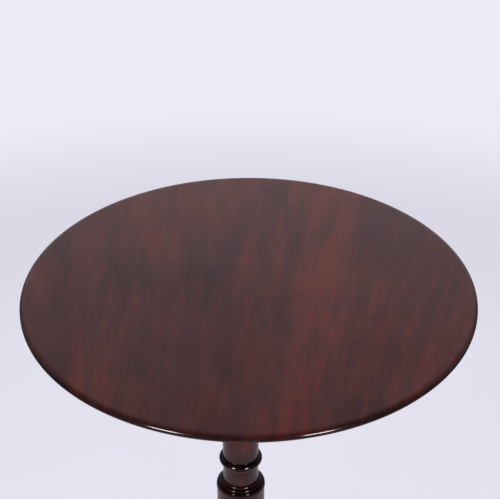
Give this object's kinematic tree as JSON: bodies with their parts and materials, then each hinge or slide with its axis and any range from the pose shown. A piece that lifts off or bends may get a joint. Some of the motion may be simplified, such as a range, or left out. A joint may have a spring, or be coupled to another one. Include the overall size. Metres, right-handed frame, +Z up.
{
  "type": "wine table",
  "caption": "Small round tilt-top pedestal table in polished mahogany: thin rounded edge, ringed turned column, swept tripod legs on pad feet, and a brass bolt that locks the top flat.",
  "frame": {"origin": "on the floor, under the centre of the round top", "axes": "+Z up, +X towards the pivot side of the top, -Y to the front of the table"},
  "size_m": [0.5079, 0.508, 0.711],
  "materials": {
    "top_mahogany": "dark red-brown mahogany, French polished, worn in places",
    "stand_mahogany": "dark red-brown mahogany, French polished",
    "bearer_wood": "plain planed mahogany, aged and unpolished",
    "pivot_wood": "turned hardwood, waxed",
    "brass": "aged brass, dull with bright rubbed edges",
    "iron": "black forged iron with a little rust",
    "steel": "dull darkened steel"
  },
  "bodies": {
    "stand": {"column": "stand_mahogany", "tenon_wedge": "pivot_wood", "tilt_block": "bearer_wood", "pivot_pin_front": "pivot_wood", "pivot_pin_back": "pivot_wood", "keeper_plate": "brass", "keeper_screws": "brass", "leg_left": "stand_mahogany", "leg_front": "stand_mahogany", "leg_back": "stand_mahogany", "leg_plate": "iron", "leg_plate_screws": "steel"},
    "top": {"table_top": "top_mahogany", "bearer_front": "bearer_wood", "bearer_back": "bearer_wood", "bearer_screws": "steel", "catch_plate": "brass", "catch_guides": "brass", "catch_plate_screws": "brass"},
    "bolt": {"catch_bolt": "brass", "catch_knob": "brass"}
  },
  "joints": [
    {"name": "top_tilt", "type": "hinge", "parent": "stand", "child": "top", "pos_m": [0.0203, 0, 0.6847], "axis": [0, 1, 0], "range_deg": [0, 90]},
    {"name": "bolt_slide", "type": "slide", "parent": "top", "child": "bolt", "axis": [1, 0, 0], "range_m": [0, 0.008]}
  ]
}
